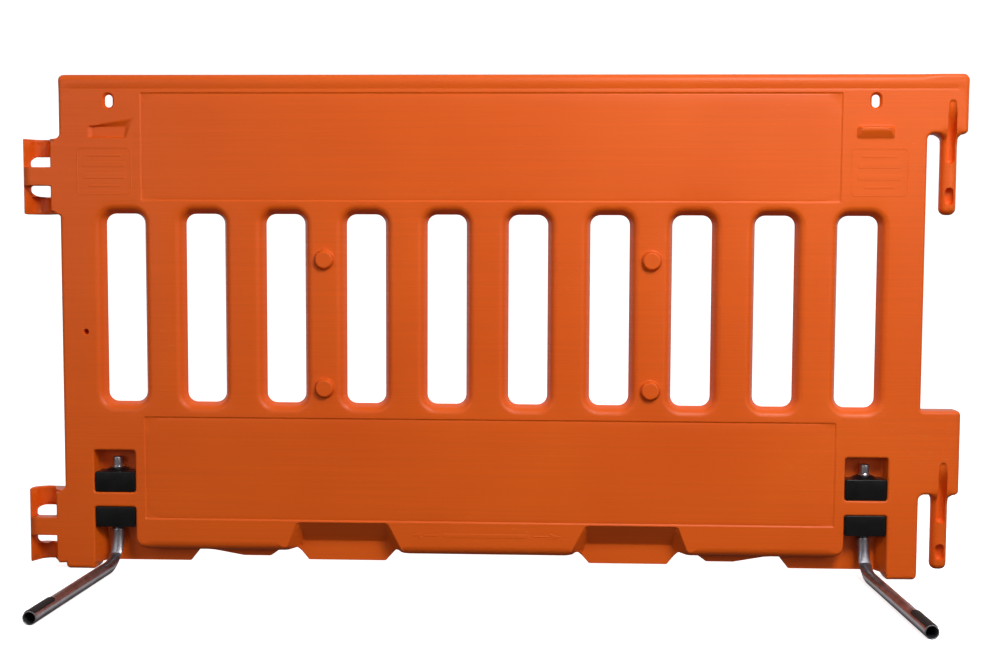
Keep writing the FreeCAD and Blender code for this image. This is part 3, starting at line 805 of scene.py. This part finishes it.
def bearing_block(name, side, span, collar):
    """The plan is the block seen from above, with the shaft's bore through it."""
    x0, x1, y0, y1 = BLOCK_X + BLOCK_Y
    cx, cy = (x0 + x1) / 2, (y0 + y1) / 2
    outline = box_outline(cx, cy, x1 - x0, y1 - y0, BLOCK_CORNER, step=6)
    bore = circle(PIVOT_X, 0, SHAFT_R + 0.12, 40)[::-1]

    def from_shaft(points):
        return np.hypot(points[:, 0] - PIVOT_X, points[:, 1])

    def drop(points, d):
        from_end = np.minimum(points[:, 0] - x0, x1 - points[:, 0])
        hole = from_shaft(points) - SHAFT_R
        edge = np.where(hole < 2, 0.8 * round_edge(hole / 0.8, 1.0), round_edge(d, BLOCK_EDGE))
        return np.maximum(round_edge(from_end, BLOCK_CORNER), edge)

    def top(points, d):
        base, crown, height = COLLAR
        mound = height * smooth(base + 1, crown - 2, from_shaft(points)) if collar else 0.0
        mound = mound * smooth(0.5, 5.0, points[:, 1] - y0) * smooth(0.0, 2.0, y1 - points[:, 1])
        return span[1] - drop(points, d) + mound

    rings = edge_rings(BLOCK_EDGE) + [3.0, 4.5, 6.0]
    flat, heights, faces = slab_mesh(outline, [bore], rings, top,
                                     lambda p, d: span[0] + drop(p, d), grid=3.0)
    verts = np.column_stack((flat[:, 0] * side, flat[:, 1], heights))
    if side < 0:
        faces = [f[::-1] for f in faces]
    return mesh_object(name, verts, faces)


def at_pivot(verts, side):
    """Turn points that lie along -y to the foot's splay, and move them to its pivot."""
    turn = math.radians(side * SPLAY)
    v = np.array(verts, float)
    x = v[:, 0] * math.cos(turn) - v[:, 1] * math.sin(turn)
    y = v[:, 0] * math.sin(turn) + v[:, 1] * math.cos(turn)
    return np.column_stack((x + side * PIVOT_X, y, v[:, 2]))


def tube_path(first, last, shaft, run):
    """Stations (y, z, angle, radius) from a height on the shaft to a reach of the foot."""
    bend_z = TUBE_R + BEND_R
    stations = [(0.0, z, 0.0, shaft) for z in np.arange(first, NECK[1], -8.0)]
    for t in np.linspace(0, 1, 7):
        z = NECK[1] + (NECK[0] - NECK[1]) * t
        stations.append((0.0, z, 0.0, shaft + (run - shaft) * float(smooth(0, 1, t))))
    for t in np.linspace(0, math.pi / 2, 19)[1:]:
        y, z = -BEND_R * (1 - math.cos(t)), bend_z - BEND_R * math.sin(t)
        flatten = 1 - 0.03 * math.sin(2 * t)
        stations.append((y, z, t, run * flatten))
    stations += [(y, TUBE_R, math.pi / 2, run) for y in np.linspace(-BEND_R - 8, last, 24)]
    return stations


def ring_faces(rings, size, bands):
    """Quads in bands between rings of points, where the last ring may meet the first."""
    faces = []
    for i in range(bands):
        a, b = i * size, (i + 1) % rings * size
        faces += [(a + k, b + k, b + (k + 1) % size, a + (k + 1) % size) for k in range(size)]
    return faces


def foot_tube(name, side):
    sides = 48
    outer = tube_path(SHAFT_TOP - 1.2, -FOOT_REACH + 0.6, SHAFT_R, TUBE_R)
    inner = tube_path(SHAFT_TOP - SHAFT_CAP, -FOOT_REACH + 0.5, SHAFT_R - TUBE_WALL,
                      TUBE_R - TUBE_WALL)
    cap = [(0.0, SHAFT_TOP, 0.0, SHAFT_R - 1.2), (0.0, SHAFT_TOP - 0.35, 0.0, SHAFT_R - 0.35)]
    lip = [(-FOOT_REACH + 0.15, TUBE_R, math.pi / 2, TUBE_R - 0.2),
           (-FOOT_REACH, TUBE_R, math.pi / 2, TUBE_R - 0.6),
           (-FOOT_REACH, TUBE_R, math.pi / 2, TUBE_R - TUBE_WALL + 0.4)]
    stations = cap + outer + lip + inner[::-1]
    verts = []
    for y, z, angle, radius in stations:
        for k in range(sides):
            a = 2 * math.pi * k / sides
            out = radius * math.sin(a)
            verts.append((radius * math.cos(a), y + out * math.cos(angle),
                          z + out * math.sin(angle)))
    bands = len(stations) - 1
    faces = ring_faces(len(stations), sides, bands)
    faces += [list(range(sides)), [bands * sides + k for k in range(sides)][::-1]]
    return mesh_object(name, at_pivot(verts, side), faces)


def ring_part(profile, start, stop, parts):
    """A profile of (radius, z) turned about the shaft, all the way round or part of it."""
    whole = stop - start > 359
    angles = [math.radians(start + (stop - start) * k / parts) for k in range(parts + 1 - whole)]
    verts = [(r * math.cos(a), r * math.sin(a), z) for a in angles for r, z in profile]
    n = len(profile)
    faces = ring_faces(len(angles), n, parts)
    if not whole:
        faces += [list(range(n)), [(len(angles) - 1) * n + k for k in range(n)][::-1]]
    return verts, faces


def push_nut(name, side):
    z = UPPER_BLOCK[1] + COLLAR[2] + 0.45
    top = z + NUT_T
    grip = SHAFT_R + 0.03
    disc = [(grip + 1.6, z), (NUT_R - 0.3, z), (NUT_R, z + 0.3), (NUT_R, top),
            (NUT_R - 0.5, top + 0.6), (NUT_R - 1.1, top + 0.3), (grip + 1.6, top)]
    tooth = [(grip + 2.4, z + 0.5), (grip + 2.7, z + 1.4), (grip + 0.9, z + 4.2),
             (grip, z + 4.2), (grip + 0.1, z + 3.4)]
    parts = [ring_part(disc, 0, 360, 64)]
    pitch = 360 / NUT_TEETH
    parts += [ring_part(tooth, i * pitch - 17, i * pitch + 17, 6) for i in range(NUT_TEETH)]
    return joined(name, [(at_pivot(v, side), f) for v, f in parts])


def grip_strip(name, side):
    """A strip of rubber laid round the tube: its plan is (along the tube, round the tube)."""
    width = math.radians(STRIP_ARC) * (TUBE_R + STRIP_T)
    half = width / 2
    outline = rounded([(2, -half, 2), (2 + STRIP_LENGTH, -half, 7), (2 + STRIP_LENGTH, half, 7),
                       (2, half, 2)], step=4)
    off_tube = 0.02
    flat, heights, faces = slab_mesh(
        outline, [], edge_rings(STRIP_EDGE, 3) + [2.0],
        lambda p, d: STRIP_T - round_edge(d, STRIP_EDGE),
        lambda p, d: np.full(len(p), off_tube), grid=3.0)
    angle = math.radians(90) - flat[:, 1] / (TUBE_R + STRIP_T)
    r = TUBE_R + heights
    verts = np.column_stack((r * np.cos(angle), -FOOT_REACH + flat[:, 0],
                             TUBE_R + r * np.sin(angle)))
    return mesh_object(name, at_pivot(verts, side), [f[::-1] for f in faces])


def raised(outline, holes=(), height=0.5):
    """A low raised shape on the wall's front face, from its (x, z) outline."""
    flat, heights, faces = slab_mesh(
        outline, list(holes), [0.25, 0.6], lambda p, d: height * smooth(-0.1, 0.6, d),
        lambda p, d: np.full(len(p), -0.5), grid=40.0)
    verts = np.column_stack((flat[:, 0], -FACE - heights, flat[:, 1]))
    return verts, faces


def raised_bar(cx, cz, width, tall, radius):
    return raised(box_outline(cx, cz, width, tall, radius, step=20))


# The marks
MARK_X, MARK_Z, MARK_SIZE, MARK_LINE = 775.0, 816.0, (112.0, 96.0), 5.0
MARK_BARS = ((847, 70, 5), (829, 86, 11), (806, 86, 11), (786, 62, 4))
ARROW_Z, ARROW_TIP, ARROW_ROOT = 79.0, 154.0, 128.0


def embossed_marks():
    """Plain bars in a frame under each ledge, standing in for the moulded lettering,
    and two plain arrows and a bar on the centre of the lip."""
    parts = []
    width, tall = MARK_SIZE
    for cx in (-MARK_X, MARK_X):
        frame_out = box_outline(cx, MARK_Z, width, tall, 10, step=20)
        frame_in = box_outline(cx, MARK_Z, width - MARK_LINE, tall - MARK_LINE, 8, step=20)[::-1]
        parts.append(raised(frame_out, [frame_in]))
        for bar_z, bar_width, bar_tall in MARK_BARS:
            parts.append(raised_bar(cx, bar_z, bar_width, bar_tall, 2.0))
    for side in (-1, 1):
        head = [(side * ARROW_ROOT, ARROW_Z - 7, 0.8), (side * ARROW_TIP, ARROW_Z, 0.8),
                (side * ARROW_ROOT, ARROW_Z + 7, 0.8), (side * (ARROW_ROOT + 6), ARROW_Z, 0.5)]
        parts.append(raised(rounded(head if side > 0 else head[::-1], step=20)))
        parts.append(raised_bar(side * 112, ARROW_Z, 30, 3.2, 1.2))
    parts.append(raised_bar(0, ARROW_Z, 176, 8.0, 2.5))
    return joined("embossed_marks", parts)


wall = moulded_wall()
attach(wall, "wall")
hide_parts("panel", "hinge_socket_upper", "hinge_socket_lower",
            "hinge_hook_upper", "hinge_hook_lower")
marks = embossed_marks()
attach(marks, "wall")
made = {"orange_plastic": [wall, marks]}


def place(piece, body, node, slot):
    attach(piece, body)
    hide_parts(node)
    made.setdefault(slot, []).append(piece)


for side, word in ((-1, "left"), (1, "right")):
    place(bearing_block("block_upper_" + word, side, UPPER_BLOCK, True), "wall",
          "upper_bearing_block_" + word, "black_plastic")
    place(bearing_block("block_lower_" + word, side, LOWER_BLOCK, False), "wall",
          "lower_bearing_block_" + word, "black_plastic")
    foot = "foot_" + word
    place(foot_tube("tube_" + word, side), foot, "foot_tube_" + word, "tube_steel")
    place(push_nut("nut_" + word, side), foot, "push_nut_" + word, "plated_steel")
    place(grip_strip("strip_" + word, side), foot, "grip_strip_" + word, "black_rubber")


# -- materials

def material(name):
    mat = bpy.data.materials.new(name)
    mat.use_nodes = True
    tree = mat.node_tree
    return mat, tree, tree.nodes["Principled BSDF"]


def plug(tree, value, socket):
    """Link another node's output to a socket, or give the socket a plain value."""
    if isinstance(value, bpy.types.NodeSocket):
        tree.links.new(value, socket)
    else:
        socket.default_value = value


def feed(tree, target, **inputs):
    for key, value in inputs.items():
        plug(tree, value, target.inputs[key.replace("_", " ")])


def node(tree, kind, **inputs):
    made_node = tree.nodes.new(kind)
    feed(tree, made_node, **inputs)
    return made_node


def object_space(tree, scale):
    """Object coordinates, in metres, stretched along each axis."""
    where = tree.nodes.new("ShaderNodeTexCoord").outputs["Object"]
    return node(tree, "ShaderNodeMapping", Vector=where, Scale=scale).outputs["Vector"]


def noise_map(tree, scale, stretch=(1, 1, 1), detail=4.0, rough=0.5):
    """A noise texture's value, with its scale in cycles per metre."""
    return node(tree, "ShaderNodeTexNoise", Vector=object_space(tree, stretch), Scale=scale,
                Detail=detail, Roughness=rough).outputs[0]


def fit_range(tree, value, low, high, to_low, to_high):
    return node(tree, "ShaderNodeMapRange", Value=value, From_Min=low, From_Max=high,
                To_Min=to_low, To_Max=to_high).outputs[0]


def blend(tree, factor, a, b):
    """Mix two colours. The factor and the colours are plain values or outputs."""
    mix = tree.nodes.new("ShaderNodeMix")
    mix.data_type = "RGBA"
    for value, index in ((factor, 0), (a, 6), (b, 7)):
        plug(tree, value, mix.inputs[index])
    return mix.outputs[2]


def bump(tree, shader, layers):
    """Bump from (height socket, distance in metres, strength) layers, one on another."""
    last = None
    for height, distance, strength in layers:
        bumped = node(tree, "ShaderNodeBump", Height=height, Strength=strength, Distance=distance)
        if last:
            feed(tree, bumped, Normal=last.outputs["Normal"])
        last = bumped
    feed(tree, shader, Normal=last.outputs["Normal"])


def orange_plastic(tree, shader):
    """Satin polyethylene: faint tool lines along x, slight clouding, a few pale scuffs,
    and painted shade that darkens it where it is seen edge on."""
    clouds = fit_range(tree, noise_map(tree, 3.0, detail=2.0), 0.3, 0.7, 0, 1)
    base = blend(tree, clouds, (0.84, 0.112, 0.004, 1), (0.90, 0.132, 0.006, 1))
    lines = noise_map(tree, 1.0, (2.5, 2.5, 420), detail=3.0, rough=0.6)
    line_mask = fit_range(tree, lines, 0.35, 0.65, 0, 1)
    base = blend(tree, fit_range(tree, line_mask, 0, 1, 0.0, 0.10), base, (0.45, 0.06, 0.004, 1))
    scratch = noise_map(tree, 1.0, (60, 60, 900), detail=2.0)
    scuff_area = fit_range(tree, noise_map(tree, 5.5, detail=3.0), 0.56, 0.70, 0, 1)
    scuffs = fit_range(tree, scratch, 0.66, 0.72, 0, 0.35)
    both = node(tree, "ShaderNodeMath")
    both.operation = "MULTIPLY"
    plug(tree, scuff_area, both.inputs[0])
    plug(tree, scuffs, both.inputs[1])
    base = blend(tree, both.outputs[0], base, (0.95, 0.40, 0.16, 1))
    # Painted shade: the colour darkens towards a deep red where the surface turns edge on to the
    # view.
    facing = node(tree, "ShaderNodeLayerWeight", Blend=0.35)
    edge = fit_range(tree, facing.outputs["Facing"], 0.45, 1.0, 0, 0.75)
    base = blend(tree, edge, base, (0.20, 0.018, 0.002, 1))
    feed(tree, shader, Base_Color=base, Specular_IOR_Level=0.34,
         Roughness=fit_range(tree, line_mask, 0, 1, 0.40, 0.50))
    peel = noise_map(tree, 260.0, detail=2.0)
    waves = noise_map(tree, 9.0, (1, 1, 1.6), detail=1.0)
    bump(tree, shader, [(waves, 0.004, 0.12), (lines, 0.0006, 0.20), (peel, 0.0004, 0.10)])


def black_plastic(tree, shader):
    clouds = noise_map(tree, 40.0, detail=3.0)
    base = blend(tree, clouds, (0.003, 0.003, 0.003, 1), (0.007, 0.007, 0.008, 1))
    dust = fit_range(tree, noise_map(tree, 900.0, detail=2.0), 0.70, 0.78, 0, 0.5)
    base = blend(tree, dust, base, (0.12, 0.11, 0.10, 1))
    feed(tree, shader, Base_Color=base, Specular_IOR_Level=0.35,
         Roughness=fit_range(tree, clouds, 0.3, 0.7, 0.26, 0.36))
    bump(tree, shader, [(noise_map(tree, 700.0, detail=2.0), 0.0003, 0.25)])


def tube_steel(tree, shader):
    """Zinc-coated steel tube: drawn along its length, mottled and a little tarnished."""
    mottle = fit_range(tree, noise_map(tree, 55.0, detail=4.0, rough=0.6), 0.35, 0.65, 0, 1)
    base = blend(tree, mottle, (0.28, 0.27, 0.30, 1), (0.42, 0.405, 0.44, 1))
    grime = fit_range(tree, noise_map(tree, 14.0, detail=3.0), 0.50, 0.72, 0, 0.40)
    base = blend(tree, grime, base, (0.24, 0.18, 0.15, 1))
    feed(tree, shader, Base_Color=base, Metallic=0.95,
         Roughness=fit_range(tree, mottle, 0, 1, 0.34, 0.46))
    drawn = noise_map(tree, 1.0, (1500, 30, 1500), detail=2.0)
    pits = noise_map(tree, 420.0, detail=2.0)
    bump(tree, shader, [(drawn, 0.0002, 0.12), (pits, 0.0002, 0.12)])


def plated_steel(tree, shader):
    mottle = noise_map(tree, 160.0, detail=3.0)
    base = blend(tree, mottle, (0.55, 0.55, 0.56, 1), (0.80, 0.80, 0.82, 1))
    feed(tree, shader, Base_Color=base, Metallic=1.0,
         Roughness=fit_range(tree, mottle, 0.3, 0.7, 0.20, 0.34))
    bump(tree, shader, [(noise_map(tree, 900.0, detail=2.0), 0.0001, 0.2)])


def black_rubber(tree, shader):
    """Grit-faced rubber, very dark and matt."""
    grit = noise_map(tree, 1400.0, detail=2.0)
    sparkle = fit_range(tree, grit, 0.64, 0.74, 0, 1)
    base = blend(tree, sparkle, (0.004, 0.004, 0.004, 1), (0.05, 0.045, 0.04, 1))
    feed(tree, shader, Base_Color=base, Roughness=0.78)
    bump(tree, shader, [(grit, 0.0005, 0.6)])


for maker in (orange_plastic, black_plastic, tube_steel, plated_steel, black_rubber):
    finish, tree, shader = material(maker.__name__)
    maker(tree, shader)
    for piece in made[maker.__name__]:
        piece.data.materials.append(finish)


# -- stage, light and camera

def area(name, where, target, size, power):
    light = bpy.data.lights.new(name, "AREA")
    light.shape = "RECTANGLE"
    light.size, light.size_y = size
    light.energy = power
    lamp = add_object(name, light)
    lamp.location = where
    lamp.rotation_euler = (Vector(target) - Vector(where)).to_track_quat("-Z", "Y").to_euler()


def stage_piece(name, verts, faces, glow):
    """White paper that glows by itself and doesn't touch the object's lighting."""
    mesh = bpy.data.meshes.new(name)
    mesh.from_pydata(verts, [], faces)
    obj = add_object(name, mesh)
    mat, tree, shader = material(name + "_paper")
    feed(tree, shader, Base_Color=(0.88, 0.88, 0.88, 1), Roughness=0.9,
         Emission_Color=(1, 1, 1, 1), Emission_Strength=glow)
    mesh.materials.append(mat)
    obj.visible_glossy = False
    obj.visible_diffuse = False
    return obj


def stage():
    """A pale floor, and a round backdrop of the same paper that casts no shadow."""
    half, away, tall, parts = 60.0, 16.0, 14.0, 64
    stage_piece("floor", [(-half, -half, 0), (half, -half, 0), (half, half, 0), (-half, half, 0)],
                [(0, 1, 2, 3)], 0.78)
    turns = [2 * math.pi * k / parts for k in range(parts)]
    verts = [(away * math.cos(t), away * math.sin(t), z) for z in (0, tall) for t in turns]
    faces = [(k, (k + 1) % parts, (k + 1) % parts + parts, k + parts) for k in range(parts)]
    stage_piece("backdrop", verts, faces, 1.0).visible_shadow = False


def world():
    """A studio with a white wall behind the object, and dimmer in front and below."""
    studio = bpy.data.worlds.new("studio")
    bpy.context.scene.world = studio
    studio.use_nodes = True
    tree = studio.node_tree
    back = tree.nodes["Background"]
    where = tree.nodes.new("ShaderNodeTexCoord")
    split = node(tree, "ShaderNodeSeparateXYZ", Vector=where.outputs["Generated"])
    height = fit_range(tree, split.outputs["Z"], -0.5, 0.7, 0, 1)
    front = blend(tree, height, (0.085, 0.075, 0.07, 1), (0.27, 0.275, 0.285, 1))
    behind = fit_range(tree, split.outputs["Y"], 0.15, 0.75, 0, 1)
    above = fit_range(tree, split.outputs["Z"], -0.35, -0.1, 0, 1)
    white = blend(tree, above, front, (1.05, 1.05, 1.05, 1))
    feed(tree, back, Color=blend(tree, behind, front, white), Strength=1.0)


def camera():
    """The photo's camera, as fitted to the wall's slots and ends."""
    data = bpy.data.cameras.new("camera")
    data.sensor_width = 36.0
    data.lens = 46.8
    obj = add_object("camera", data)
    right = Vector((0.999230, 0.038976, 0.004307))
    down = Vector((0.006892, -0.066427, -0.997767))
    ahead = Vector((-0.038603, 0.997029, -0.066645))
    turn = Matrix((right, -down, -ahead)).transposed().to_4x4()
    metres = (0.1274, -2.4324, 0.6667)
    obj.matrix_world = Matrix.Translation(metres) @ turn
    bpy.context.scene.camera = obj


stage()
world()
area("key", (1.1, -1.9, 2.5), (0.15, 0.2, 0.5), (1.1, 0.9), 63)
area("side", (2.4, -2.2, 1.3), (0.4, 0.2, 0.6), (1.2, 1.6), 14)
area("fill", (-2.4, -2.6, 1.4), (-0.2, 0.2, 0.5), (1.6, 1.6), 15)
camera()
bpy.context.scene.view_settings.view_transform = "Standard"
